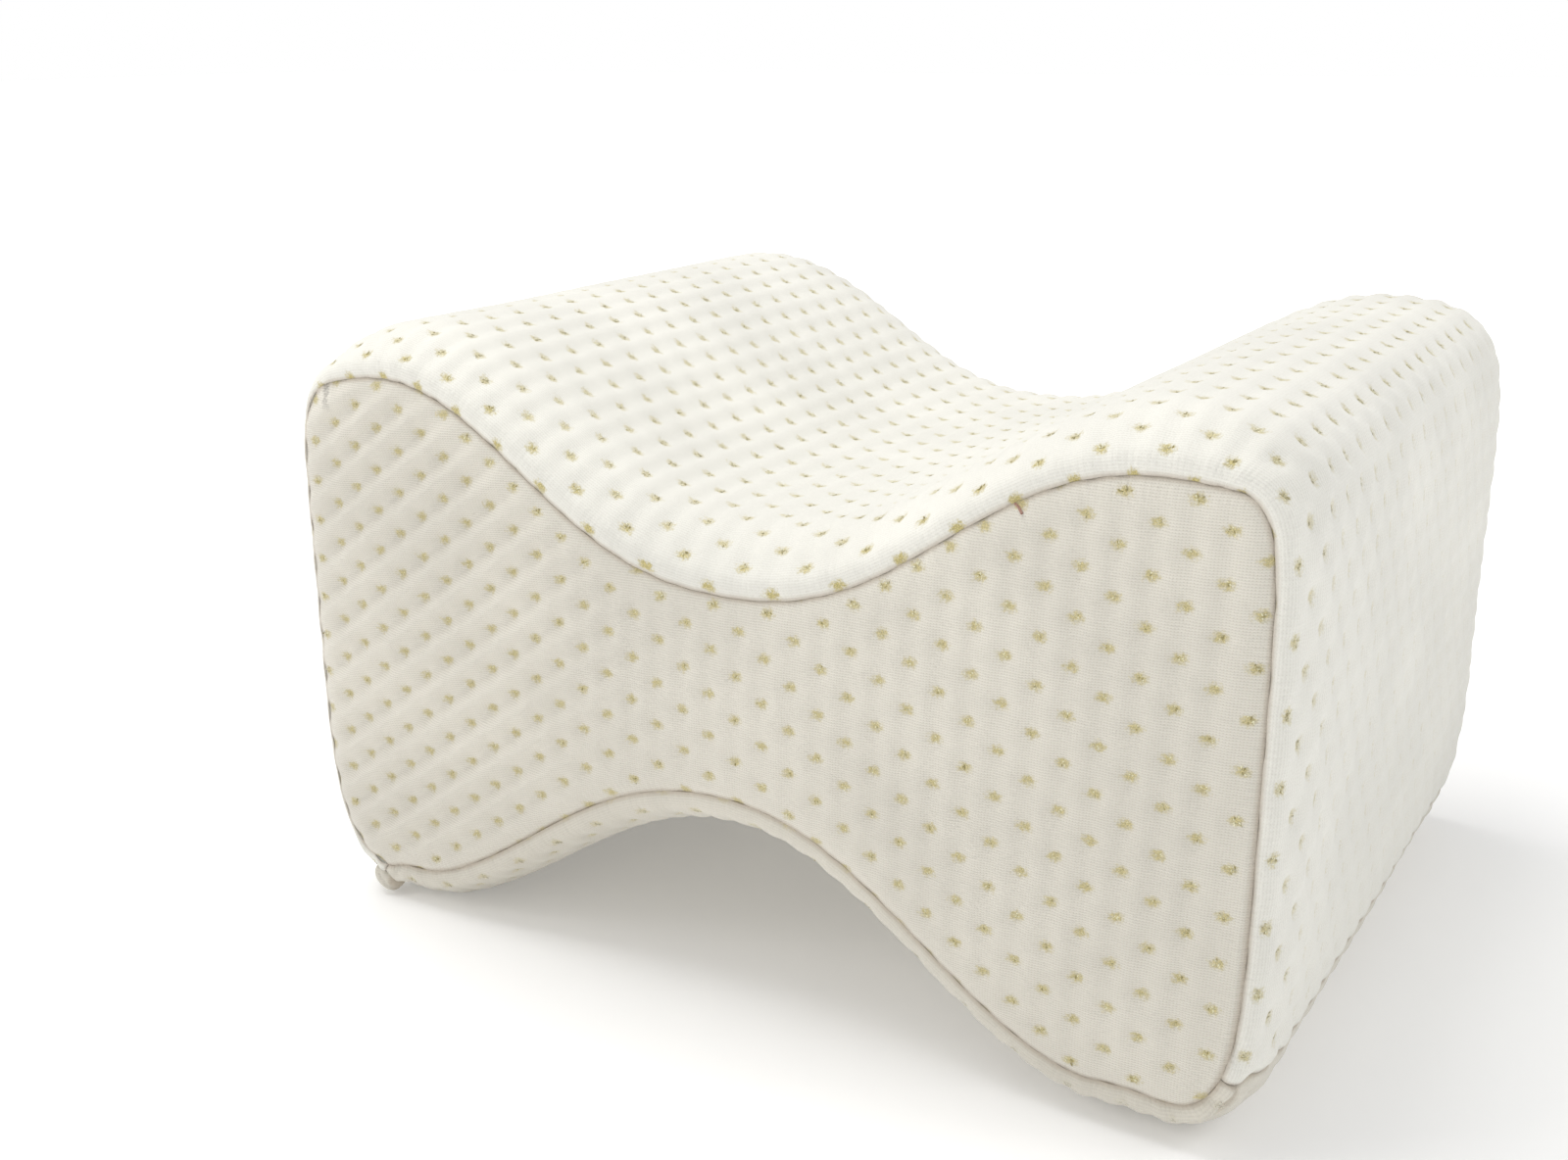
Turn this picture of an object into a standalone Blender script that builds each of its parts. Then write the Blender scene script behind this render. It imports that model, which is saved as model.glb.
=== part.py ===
"""Knee pillow: a foam-filled hourglass block in a sewn knitted cover.

Metres, +Z up, origin on the floor under the middle of the pillow. The waves of the top and
the arch of the base run along X, and the two hourglass end panels face -Y (front) and +Y.
Pieces, as they are sewn: the filled body in its wrap-around band, a front and a back panel,
the base panel between two cross seams, and the folded seam corner at the lower left.
"""

from collections import namedtuple

import bmesh
import bpy
import numpy as np
from mathutils import Matrix, Vector

for old in list(bpy.data.objects):
    bpy.data.objects.remove(old, do_unlink=True)
PARTS = bpy.data.collections.new("Knee pillow")
bpy.context.scene.collection.children.link(PARTS)

# Overall size
WIDTH = 0.259
DEPTH = 0.2007
HEIGHT = 0.155
MIDDLE = HEIGHT / 2

# Waist: from mid-height up to the trough and down to the arch, and how square each wave is
TROUGH_RISE = 0.0405
TROUGH_SQUARE = 1.24
ARCH_DROP = 0.0345
ARCH_SQUARE = 1.12
# The feet are pressed flat: the base lobes would reach this far under the floor
FOOT_PRESS = 0.0014

# The four lobes of the outline. peak is the lobe's crest from the middle; side_round and
# crest_round are the powers of the rounded corner towards the side and towards the crest.
Lobe = namedtuple("Lobe", "side peak side_round crest_round")
TOP_LEFT = Lobe(-1, 0.0960, 1.8, 7.5)
TOP_RIGHT = Lobe(1, 0.0985, 2.9, 7.5)
BASE_LEFT = Lobe(-1, 0.1050, 1.7, 4.6)
BASE_RIGHT = Lobe(1, 0.0980, 2.8, 4.8)

# The seam of the end panels: how far inside the outline it lies on each stretch
SEAM_IN_CREST = 0.0115
SEAM_IN_TROUGH = 0.0145
SEAM_IN_BASE = 0.0115
SEAM_IN_LEFT = 0.0030
SEAM_IN_RIGHT = 0.0065
TROUGH_SHARE = 1.5
# The stuffed edge rolls from the outline down to that seam over this depth
FRONT_ROLL = 0.020
BACK_ROLL = 0.024

# The cover: a thick air-layer knit, with a hair of room between sewn pieces
SHEET = 0.0025
GAP = 0.0003
SEAT = SHEET + GAP
SEAT_DRAFT = 0.0006
PANEL_CROWN = 0.0020
SEAM_Y = DEPTH / 2 - PANEL_CROWN
CROWN_REACH = 0.028
GROOVE_DROP = 0.0011
GROOVE_REACH = 0.0022

# Corners of the sewing pattern on the outline, as (x, z): the base panel runs between the
# two lower ones, which are its cross seams
TOP_LEFT_CORNER = (-0.1240, 0.1450)
TOP_RIGHT_CORNER = (0.1240, 0.1450)
RIGHT_CROSS_SEAM = (0.1262, 0.0186)
LEFT_CROSS_SEAM = (-0.1134, 0.0025)

# The folded end of the left cross seam: length, width, thickness, and its place on the roll
FOLD_SIZE = (0.0075, 0.0050, 0.0032)
FOLD_TURN = np.radians(52)

# How finely the pieces are divided
ACROSS = 34
UP = 14
ROLL_STEPS = 5
DEPTH_STEPS = 3
FINE = 240
FINE_STEP = 0.0005
SOFT_STEPS = 14
CORNER_CROWDING = 0.014
BOW_FADE = 6
MERGE = 1e-7
CREASE = np.radians(50)
FOLD_SEGMENTS = 16
FOLD_RINGS = 10


def lobe_line(lobe, half_height, waist, square):
    """One quarter of the outline, as (x, height over mid-height) from the middle outwards.

    A raised cosine climbs from the waist to the crest, then a superellipse falls to the side.
    """
    x = np.linspace(0, lobe.peak, FINE)
    climb = ((1 - np.cos(np.pi * x / lobe.peak)) / 2) ** square
    z = waist + (half_height - waist) * climb
    turn = np.linspace(np.pi / 2, 0, FINE)[1:]
    corner_x = lobe.peak + (WIDTH / 2 - lobe.peak) * np.cos(turn) ** (2 / lobe.side_round)
    corner_z = half_height * np.sin(turn) ** (2 / lobe.crest_round)
    return lobe.side * np.append(x, corner_x), np.append(z, corner_z)


def fine_outline():
    """The closed hourglass outline, clockwise from the middle of the left side, as (x, z).

    Its two base lobes dip a little under the floor.
    """
    top_left = lobe_line(TOP_LEFT, MIDDLE, TROUGH_RISE, TROUGH_SQUARE)
    top_right = lobe_line(TOP_RIGHT, MIDDLE, TROUGH_RISE, TROUGH_SQUARE)
    base_right = lobe_line(BASE_RIGHT, MIDDLE + FOOT_PRESS, ARCH_DROP, ARCH_SQUARE)
    base_left = lobe_line(BASE_LEFT, MIDDLE + FOOT_PRESS, ARCH_DROP, ARCH_SQUARE)
    x = np.concatenate([top_left[0][:0:-1], top_right[0], base_right[0][-2::-1], base_left[0][1:-1]])
    rise = np.concatenate(
        [top_left[1][:0:-1], top_right[1], -base_right[1][-2::-1], -base_left[1][1:-1]]
    )
    return soften(np.stack([x, MIDDLE + rise], 1))


def along(points):
    """Arc length at each point of an open line."""
    return np.append(0, np.cumsum(np.linalg.norm(np.diff(points, axis=0), axis=1)))


def soften(points):
    """The closed line at even steps, each point the weighted mean of its neighbours, as foam bends."""
    closed = np.vstack([points, points[:1]])
    s = along(closed)
    even = np.linspace(0, s[-1], round(s[-1] / FINE_STEP), endpoint=False)
    x, z = np.interp(even, s, closed[:, 0]), np.interp(even, s, closed[:, 1])
    window = np.hanning(2 * SOFT_STEPS + 1)
    window /= window.sum()
    shifts = range(-SOFT_STEPS, SOFT_STEPS + 1)
    x, z = (sum(w * np.roll(line, k) for w, k in zip(window, shifts)) for line in (x, z))
    return np.stack([x, z], 1)


def outward(points):
    """Unit normals of a closed clockwise outline, pointing away from the filling."""
    run = np.roll(points, -1, 0) - np.roll(points, 1, 0)
    run /= np.linalg.norm(run, axis=1, keepdims=True)
    return np.stack([-run[:, 1], run[:, 0]], 1)


def seam_inset(points, normals):
    """How far inside the outline the end seam lies, at each point of it."""
    across, up = normals[:, 0] ** 2, normals[:, 1] ** 2
    in_trough = np.clip(TROUGH_SHARE * (1 - np.abs(points[:, 0]) / TOP_RIGHT.peak), 0, 1)
    crest = SEAM_IN_CREST + (SEAM_IN_TROUGH - SEAM_IN_CREST) * in_trough
    level = np.where(normals[:, 1] > 0, crest, SEAM_IN_BASE)
    side = np.where(normals[:, 0] > 0, SEAM_IN_RIGHT, SEAM_IN_LEFT)
    return level * up + side * across


class Outline:
    """The outline with its normals and seam insets, readable at any arc length.

    The floor presses the feet flat. The normals stay those of the round lobes.
    """

    def __init__(self):
        points = fine_outline()
        normals = outward(points)
        points[:, 1] = np.maximum(points[:, 1], 0)
        closed = np.vstack([points, points[:1]])
        self.points = points
        self.s = along(closed)
        self.rows = np.column_stack([closed, np.vstack([normals, normals[:1]])])
        self.inset = np.append(seam_inset(points, normals), 0)
        self.inset[-1] = self.inset[0]

    def at(self, s):
        """(points, normals, insets) at arc lengths s."""
        s = np.mod(s, self.s[-1])
        rows = np.stack([np.interp(s, self.s, column) for column in self.rows.T], 1)
        normals = rows[:, 2:] / np.linalg.norm(rows[:, 2:], axis=1, keepdims=True)
        return rows[:, :2], normals, np.interp(s, self.s, self.inset)

    def nearest(self, corner):
        """Arc length of the outline's point nearest to (x, z)."""
        return self.s[np.argmin(np.linalg.norm(self.points - np.array(corner), axis=1))]

    def stretch(self, start, stop, steps):
        """Arc lengths from start to stop, closer together where the outline bends."""
        if stop < start:
            stop += self.s[-1]
        s = np.linspace(start, stop, 4 * FINE)
        normals = self.at(s)[1]
        bend = np.append(0, np.linalg.norm(np.diff(normals, axis=0), axis=1))
        weight = np.cumsum((s[1] - s[0]) + CORNER_CROWDING * bend)
        weight = (weight - weight[0]) / (weight[-1] - weight[0])
        return np.interp(np.linspace(0, 1, steps + 1), weight, s)


OUTLINE = Outline()
PATTERN_CORNERS = (TOP_LEFT_CORNER, TOP_RIGHT_CORNER, RIGHT_CROSS_SEAM, LEFT_CROSS_SEAM)
CORNERS = [OUTLINE.nearest(corner) for corner in PATTERN_CORNERS]
TOP_EDGE = OUTLINE.stretch(CORNERS[0], CORNERS[1], ACROSS)
RIGHT_EDGE = OUTLINE.stretch(CORNERS[1], CORNERS[2], UP)
BASE_EDGE = OUTLINE.stretch(CORNERS[2], CORNERS[3], ACROSS)
LEFT_EDGE = OUTLINE.stretch(CORNERS[3], CORNERS[0], UP)


def roll_line(points, normals, inset, skin, end):
    """Rows of the stuffed edge from the outline to the end seam, end being -1 front, 1 back.

    A quarter ellipse: inset * (1 - cos) across the outline against roll * sin along Y. skin is
    how deep under the cover's outside the surface lies. Returns (steps + 1, columns, 3).
    """
    roll = FRONT_ROLL if end < 0 else BACK_ROLL
    turn = np.linspace(0, np.pi / 2, ROLL_STEPS + 1)[:, None]
    inwards = inset - (inset - skin) * np.cos(turn)
    y = SEAM_Y - roll + (roll - skin) * np.sin(turn)
    flat = points[None] - inwards[..., None] * normals[None]
    return np.dstack([flat[..., 0], np.broadcast_to(end * y, inwards.shape), flat[..., 1]])



def section_rows(s, skin):
    """Rows of the surface from the front seam over the outside to the back seam, at columns s."""
    points, normals, inset = OUTLINE.at(s)
    front = roll_line(points, normals, inset, skin, -1)[::-1]
    back = roll_line(points, normals, inset, skin, 1)
    share = np.linspace(0, 1, DEPTH_STEPS + 1)[1:-1, None, None]
    between = front[-1] + (back[0] - front[-1]) * share
    return np.concatenate([front, between, back])


def patch(edges):
    """A grid filling four boundary lines (top, right, base, left, each clockwise).

    Straight columns join the base line to the top line. The bow of each side line, which is
    its distance from its own chord, is added to them and dies out away from that side.
    Returns (UP + 1, ACROSS + 1, 2), base row first.
    """
    top, right, base, left = edges
    base, right = base[::-1], right[::-1]
    u = np.linspace(0, 1, ACROSS + 1)[None, :, None]
    v = np.linspace(0, 1, UP + 1)[:, None, None]
    left_bow = left[:, None] - ((1 - v) * left[0] + v * left[-1])
    right_bow = right[:, None] - ((1 - v) * right[0] + v * right[-1])
    columns = (1 - v) * base[None] + v * top[None]
    return columns + (1 - u) ** BOW_FADE * left_bow + u**BOW_FADE * right_bow


def seam_edges(deeper):
    """The four stretches of the end seam, moved further inside the outline by deeper."""
    edges = []
    for s in (TOP_EDGE, RIGHT_EDGE, BASE_EDGE, LEFT_EDGE):
        points, normals, inset = OUTLINE.at(s)
        edges.append(points - (inset + deeper)[:, None] * normals)
    return edges


def edge_distance(grid):
    """Distance of each grid point from the end seam."""
    loop = np.concatenate(seam_edges(0.0))
    flat = grid.reshape(-1, 1, 2)
    ends = np.roll(loop, -1, 0)
    run = ends - loop
    size = np.maximum((run**2).sum(1), 1e-12)
    share = np.clip(((flat - loop) * run).sum(2) / size, 0, 1)
    return np.linalg.norm(flat - loop - share[..., None] * run, axis=2).min(1).reshape(grid.shape[:2])


def crown(distance):
    """How far the stuffed end stands out at a distance from its seam: a parabola, then level."""
    share = np.clip(distance / CROWN_REACH, 0, 1)
    return PANEL_CROWN * (1 - (1 - share) ** 2)


def end_grid(deeper, depth_in, end, groove):
    """The end face as a grid of points, depth_in under the cover's outside."""
    grid = patch(seam_edges(deeper))
    distance = edge_distance(grid)
    drop = groove * np.clip(1 - distance / GROOVE_REACH, 0, 1) ** 2
    y = end * (SEAM_Y - depth_in + crown(distance) - drop)
    return np.dstack([grid[..., 0], y, grid[..., 1]])


def grid_faces(first, rows, columns, wrap=False):
    """Quads of a grid of vertices numbered row by row from first."""
    across = columns if wrap else columns - 1
    r, c = np.meshgrid(np.arange(rows - 1), np.arange(across), indexing="ij")
    corner = first + r * columns + c
    right = first + r * columns + (c + 1) % columns
    return np.stack([corner, right, right + columns, corner + columns], 2).reshape(-1, 4).tolist()


def solid(name, points, faces, material):
    """A closed mesh object from points and quads, its doubles merged and its faces outwards."""
    mesh = bpy.data.meshes.new(name)
    mesh.from_pydata([tuple(p) for p in points], [], faces)
    work = bmesh.new()
    work.from_mesh(mesh)
    bmesh.ops.remove_doubles(work, verts=work.verts, dist=MERGE)
    bmesh.ops.dissolve_degenerate(work, edges=work.edges, dist=MERGE)
    bmesh.ops.triangulate(work, faces=work.faces)
    bmesh.ops.recalc_face_normals(work, faces=work.faces)
    work.to_mesh(mesh)
    work.free()
    mesh.shade_smooth()
    mesh.set_sharp_from_angle(angle=CREASE)
    mesh.materials.append(material)
    obj = bpy.data.objects.new(name, mesh)
    PARTS.objects.link(obj)
    return obj


def fabric(name, colour):
    """A knitted-cover material of one colour."""
    material = bpy.data.materials.new(name)
    material.use_nodes = True
    shader = material.node_tree.nodes["Principled BSDF"]
    shader.inputs["Base Color"].default_value = (*colour, 1)
    shader.inputs["Roughness"].default_value = 0.9
    shader.inputs["Metallic"].default_value = 0
    return material


def filled_body():
    """The foam-filled block in its band, with a seat in each end and one under the base panel."""
    band = np.concatenate([LEFT_EDGE[:-1], TOP_EDGE[:-1] + OUTLINE.s[-1], RIGHT_EDGE + OUTLINE.s[-1]])
    band_rows = section_rows(band, 0.0)
    base_rows = section_rows(BASE_EDGE, SEAT)
    rows = np.concatenate([band_rows, base_rows], axis=1)
    columns = np.concatenate([band, BASE_EDGE])
    points, normals, inset = OUTLINE.at(columns)
    seat_ring = points - (inset + SEAT_DRAFT)[:, None] * normals
    ends = []
    for end in (-1, 1):
        y = np.full(len(columns), end * (SEAM_Y - SEAT))
        ends.append(np.stack([seat_ring[:, 0], y, seat_ring[:, 1]], 1)[None])
    rows = np.concatenate([ends[0], rows, ends[1]])
    faces = grid_faces(0, rows.shape[0], rows.shape[1], wrap=True)
    points = rows.reshape(-1, 3)
    for end in (-1, 1):
        floor = end_grid(SEAT_DRAFT, SEAT, end, 0.0)
        floor[[0, -1], :, 1] = floor[:, [0, -1], 1] = end * (SEAM_Y - SEAT)
        faces += grid_faces(len(points), UP + 1, ACROSS + 1)
        points = np.concatenate([points, floor.reshape(-1, 3)])
    return solid("filled_body", points, faces, fabric("cream knit band", (0.86, 0.84, 0.79)))


def end_panel(name, end):
    """One hourglass end panel: a crowned sheet seated inside the rolls, its rim tucked in."""
    outer = end_grid(GAP, 0.0, end, GROOVE_DROP)
    inner = end_grid(GAP + SEAT_DRAFT, SHEET, end, 0.0)
    faces = grid_faces(0, UP + 1, ACROSS + 1)
    faces += grid_faces(outer.shape[0] * outer.shape[1], UP + 1, ACROSS + 1)
    number = np.arange((UP + 1) * (ACROSS + 1)).reshape(UP + 1, ACROSS + 1)
    rim = np.concatenate([number[0, :-1], number[:-1, -1], number[-1, :0:-1], number[:0:-1, 0]])
    after = np.roll(rim, -1)
    faces += np.stack([rim, after, after + number.size, rim + number.size], 1).tolist()
    points = np.concatenate([outer.reshape(-1, 3), inner.reshape(-1, 3)])
    return solid(name, points, faces, fabric(name + " knit", (0.78, 0.73, 0.66)))


def base_panel():
    """The sheet under the pillow, from one cross seam over the arch to the other, edges rolled up."""
    outer = section_rows(BASE_EDGE, 0.0)
    inner = section_rows(BASE_EDGE, SHEET)
    for rows in (outer, inner):
        for seam, beside in ((0, 1), (-1, -2)):
            run = rows[:, beside] - rows[:, seam]
            rows[:, seam] += GAP * run / np.linalg.norm(run, axis=1, keepdims=True)
    rows = np.concatenate([outer, inner[::-1]])
    rows = np.concatenate([rows, rows[:1]])
    count, columns = rows.shape[:2]
    faces = grid_faces(0, count, columns)
    half = outer.shape[0]
    for column in (0, columns - 1):
        for row in range(half - 1):
            ring = (row, row + 1, 2 * half - 2 - row, 2 * half - 1 - row)
            faces.append([r * columns + column for r in ring])
    return solid("base_panel", rows.reshape(-1, 3), faces, fabric("base knit", (0.80, 0.77, 0.71)))


def corner_fold():
    """The folded end of the left cross seam: a small flat nub lying on the front roll."""
    (corner,), (away,), (inset,) = OUTLINE.at(np.array([CORNERS[3]]))
    turn_in, turn_along = np.cos(FOLD_TURN), np.sin(FOLD_TURN)
    flat = corner - inset * (1 - turn_in) * away
    place = Vector((flat[0], -SEAM_Y + FRONT_ROLL * (1 - turn_along), flat[1]))
    slope = away * turn_in / inset
    out = Vector((slope[0], -turn_along / FRONT_ROLL, slope[1])).normalized()
    run = Vector((away[1], 0, -away[0]))
    run = (run - out * run.dot(out)).normalized()
    turned = Matrix((run, out.cross(run), out)).transposed()
    work = bmesh.new()
    bmesh.ops.create_uvsphere(work, u_segments=FOLD_SEGMENTS, v_segments=FOLD_RINGS, radius=0.5)
    bmesh.ops.scale(work, vec=Vector(FOLD_SIZE), verts=work.verts)
    mesh = bpy.data.meshes.new("corner_fold")
    work.to_mesh(mesh)
    work.free()
    mesh.shade_smooth()
    mesh.materials.append(fabric("fold knit", (0.80, 0.76, 0.70)))
    obj = bpy.data.objects.new("corner_fold", mesh)
    obj.matrix_world = Matrix.Translation(place + out * (FOLD_SIZE[2] / 2 + GAP)) @ turned.to_4x4()
    PARTS.objects.link(obj)
    return obj


filled_body()
end_panel("front_panel", -1)
end_panel("back_panel", 1)
base_panel()
corner_fold()
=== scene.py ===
"""Knee pillow in a tufted cream knitted cover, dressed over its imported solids.

Every piece is a surface worked out with numpy over the same hourglass outline as the solids:
the band and the filled block it covers, two end panels, the base panel, the folded seam
corner, the woven gold tufts and one loose thread end.
"""

from collections import namedtuple

import bpy
import numpy as np
from bpy.props import FloatProperty, FloatVectorProperty, PointerProperty
from mathutils import Matrix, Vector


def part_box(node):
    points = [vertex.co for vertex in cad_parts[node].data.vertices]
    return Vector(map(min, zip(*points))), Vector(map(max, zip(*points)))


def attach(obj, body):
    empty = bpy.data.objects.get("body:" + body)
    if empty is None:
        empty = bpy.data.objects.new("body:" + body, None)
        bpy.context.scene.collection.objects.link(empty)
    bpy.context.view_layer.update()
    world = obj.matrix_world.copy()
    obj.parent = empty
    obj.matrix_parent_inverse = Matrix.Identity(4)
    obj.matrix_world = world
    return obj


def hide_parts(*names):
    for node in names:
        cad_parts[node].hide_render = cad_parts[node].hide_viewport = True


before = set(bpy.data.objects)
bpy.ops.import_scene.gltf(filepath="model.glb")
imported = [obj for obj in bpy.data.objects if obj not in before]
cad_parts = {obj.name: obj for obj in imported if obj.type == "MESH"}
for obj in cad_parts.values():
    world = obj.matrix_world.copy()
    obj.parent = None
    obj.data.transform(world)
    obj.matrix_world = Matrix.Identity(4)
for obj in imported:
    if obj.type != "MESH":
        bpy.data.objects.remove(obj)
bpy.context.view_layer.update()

bl_info = {
    "name": "Knee pillow",
    "version": (1, 0, 0),
    "blender": (4, 5, 0),
    "location": "3D View > Sidebar > Knee pillow",
    "description": "Builds the cover, tufts and stage of an hourglass knee pillow",
    "category": "Add Mesh",
}

# Overall size, and how far up and down from the middle the trough and the arch lie
WIDTH, DEPTH, HEIGHT = 0.259, 0.2007, 0.155
MIDDLE = HEIGHT / 2
TROUGH_RISE, TROUGH_SQUARE = 0.0405, 1.24
ARCH_DROP, ARCH_SQUARE = 0.0345, 1.12
FOOT_PRESS = 0.0014

# The four lobes of the outline: side, crest from the middle, and how round each corner is
Lobe = namedtuple("Lobe", "side peak side_round crest_round")
TOP_LEFT = Lobe(-1, 0.0960, 1.8, 7.5)
TOP_RIGHT = Lobe(1, 0.0985, 2.9, 7.5)
BASE_LEFT = Lobe(-1, 0.1050, 1.7, 4.6)
BASE_RIGHT = Lobe(1, 0.0980, 2.8, 4.8)

# The end seam: how far inside the outline it lies, and the depth of the stuffed roll to it
SEAM_IN_CREST, SEAM_IN_TROUGH, SEAM_IN_BASE = 0.0115, 0.0145, 0.0115
SEAM_IN_LEFT, SEAM_IN_RIGHT = 0.0030, 0.0065
TROUGH_SHARE = 1.5
FRONT_ROLL, BACK_ROLL = 0.020, 0.024
PANEL_CROWN, CROWN_REACH = 0.0020, 0.028
SEAM_Y = DEPTH / 2 - PANEL_CROWN

# The cover's thickness and the hair of room between sewn pieces
SHEET, GAP = 0.0025, 0.0003
SEAT = SHEET + GAP
SEAT_DRAFT = 0.0006

# The tuck under the front seam at the lower right: depth, distance from the seam, and length
TUCK_DEPTH, TUCK_AT, TUCK_RUN = 0.0011, 0.0042, 0.05

# Relief of the band and base: the diamonds on the top and what the sides add to them, the ribs over
# the columns of tufts, the broad unevenness, and the pucker beside a seam with its reach
HONEY, SIDE_HONEY, BAND_RIBS, UNEVEN = 0.00006, 0.00014, 0.00036, 0.0005
PUCKER, PUCKER_FADE = 0.00016, 0.007

# The gathers at a cross seam: height, distance from it, width, length and pitch
GATHER, GATHER_AT, GATHER_WIDTH, GATHER_FADE, GATHER_PITCH = 0.00045, 0.006, 0.008, 0.03, 0.0062

# Relief of an end panel: its broad unevenness, and the ridge on its lower right edge
PANEL_UNEVEN, PANEL_RIDGE = 0.0006, 0.0006

# How wide a tuft's dimple and a seam's groove are, and where the swell beside the groove lies
DIMPLE_WIDTH, GROOVE_WIDTH, LIP_AT, LIP_WIDTH = 0.0019, 0.0014, 0.0042, 0.0028

# Corners of the sewing pattern on the outline, as (x, z)
TOP_LEFT_CORNER, TOP_RIGHT_CORNER = (-0.1240, 0.1450), (0.1240, 0.1450)
RIGHT_CROSS_SEAM, LEFT_CROSS_SEAM = (0.1262, 0.0186), (-0.1134, 0.0025)

# Softening of the outline, as foam bends
FINE, FINE_STEP, SOFT_STEPS, SEAM_STEPS = 240, 0.0005, 14, 20

# How finely the shown surfaces are divided
BAND_COLUMNS, BASE_COLUMNS = 380, 190
ROLL_STEPS, DEPTH_STEPS, ROLL_CROWDING = 30, 102, 1.5
PANEL_COLUMNS, PANEL_ROWS, BOW_FADE = 200, 106, 6
CAP_RINGS = (0.93, 0.85, 0.7, 0.35)

# The weave: tufts stand in columns, every second one half a step higher. On the end panels the
# columns stand upright, and on the band they run from front to back.
HALF_ACROSS, HALF_UP = 0.00715, 0.00522
PANEL_RISE_A, PANEL_RISE_B = (-0.00691, 0.00508), (0.00737, 0.00536)
PANEL_START = (0.0047, 0.0756)
BAND_ACROSS, BAND_UP = 0.0074, 0.00545
TUFT_STITCHES = 7

# The folded end of the left cross seam: half sizes, lean in degrees, and shift from its solid
FOLD_HALF, FOLD_LEAN, FOLD_SHIFT = (0.0045, 0.0036, 0.0030), -38.0, (0.0012, 0.0, 0.0012)

# The loose thread end on the front seam, as (x, z)
THREAD_ROOT, THREAD_WAY, THREAD_RADIUS = (0.0702, 0.1342), (0.0021, -0.0015), 0.00026

# Colours of the gold thread's glints, and of the cream that it fades to
GLINT, FADED = (0.93, 0.90, 0.66), (0.80, 0.77, 0.66)

# The stage: the floor's size, and the sky's strength as light and as seen by the camera
FLOOR_SIZE, SKY_LIGHT, SKY_SEEN = 16, 0.49, 1.0
Lamp = namedtuple("Lamp", "name place aim size power tint")
LAMPS = (
    Lamp("top light", (-0.45, -0.10, 1.30), (0.0, -0.02, 0.08), 0.9, 10.5, (1.0, 0.995, 0.985)),
    Lamp("side light", (0.95, 0.30, 0.90), (0.05, 0.0, 0.08), 0.5, 2.8, (0.985, 0.99, 1.0)),
    Lamp("front light", (-0.70, -0.72, 0.62), (0.0, -0.1, 0.07), 0.4, 1.5, (1.0, 0.975, 0.95)),
)

# The photograph's view: yaw, pitch and roll in degrees, focal length in pixels of a picture
# PHOTO_WIDTH wide, and the camera's place in metres
CAMERA_YAW, CAMERA_PITCH, CAMERA_ROLL = 31.5832, 17.4705, 0.4256
CAMERA_FOCUS, PHOTO_WIDTH, SENSOR_WIDTH = 1781.9, 1600, 36.0
CAMERA_AT = (0.2055, -0.4049, 0.2234)


class PillowSizes(bpy.types.PropertyGroup):
    """Sizes of the cover's relief and threads."""

    dimple: FloatProperty(name="Dimple", description="How deep each tuft draws the knit in",
                          default=0.00055, unit="LENGTH")
    slant_ribs: FloatProperty(name="Slanting ribs", description="Height of the ribs at the left of an end panel",
                              default=0.00095, unit="LENGTH")
    upright_ribs: FloatProperty(name="Upright ribs", description="Height of the ribs between columns of tufts",
                                default=0.00022, unit="LENGTH")
    groove: FloatProperty(name="Groove", description="How deep the seams lie", default=0.0006, unit="LENGTH")
    lip: FloatProperty(name="Lip", description="How far the roll swells beside its seam",
                       default=0.0007, unit="LENGTH")
    tuft: FloatProperty(name="Tuft", description="Radius of a tuft", default=0.00160, unit="LENGTH")
    stitch_row: FloatProperty(name="Stitch row", description="Height of one row of the knit",
                              default=0.00058, unit="LENGTH")


class PillowColours(bpy.types.PropertyGroup):
    """Colours of the cover and the stage."""

    band: FloatVectorProperty(name="Band", description="Knit of the wrap-around band", subtype="COLOR",
                              size=3, default=(0.870, 0.857, 0.790))
    # The end panels' knit: a warmer cream than the band, and darker as painted shade for the ends, which face
    # away from the light from above
    panel: FloatVectorProperty(name="Panels", description="Knit of the end panels", subtype="COLOR",
                               size=3, default=(0.775, 0.742, 0.660))
    # The base knit: darker again as painted shade for the underside of the pillow
    base: FloatVectorProperty(name="Base", description="Knit of the base panel", subtype="COLOR",
                              size=3, default=(0.735, 0.70, 0.615))
    thread: FloatVectorProperty(name="Gold thread", description="Metallic thread of the tufts",
                                subtype="COLOR", size=3, default=(0.47, 0.405, 0.18))
    loose: FloatVectorProperty(name="Loose thread", description="The red-brown thread end on the front seam",
                               subtype="COLOR", size=3, default=(0.50, 0.29, 0.23))
    seam: FloatVectorProperty(name="Seam shade", description="Shade in the bottom of the seams",
                              subtype="COLOR", size=3, default=(0.49, 0.405, 0.31))
    floor: FloatVectorProperty(name="Floor", description="Plain pale floor", subtype="COLOR",
                               size=3, default=(0.93, 0.93, 0.93))


def lobe_line(lobe, half_height, waist, square):
    """One quarter of the outline, as (x, height over mid-height) from the middle outwards.

    A raised cosine climbs from the waist to the crest, then a superellipse falls to the side.
    """
    x = np.linspace(0, lobe.peak, FINE)
    climb = ((1 - np.cos(np.pi * x / lobe.peak)) / 2) ** square
    z = waist + (half_height - waist) * climb
    turn = np.linspace(np.pi / 2, 0, FINE)[1:]
    corner_x = lobe.peak + (WIDTH / 2 - lobe.peak) * np.cos(turn) ** (2 / lobe.side_round)
    corner_z = half_height * np.sin(turn) ** (2 / lobe.crest_round)
    return lobe.side * np.append(x, corner_x), np.append(z, corner_z)


def along(points):
    """Arc length at each point of an open line."""
    return np.append(0, np.cumsum(np.linalg.norm(np.diff(points, axis=0), axis=1)))


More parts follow.
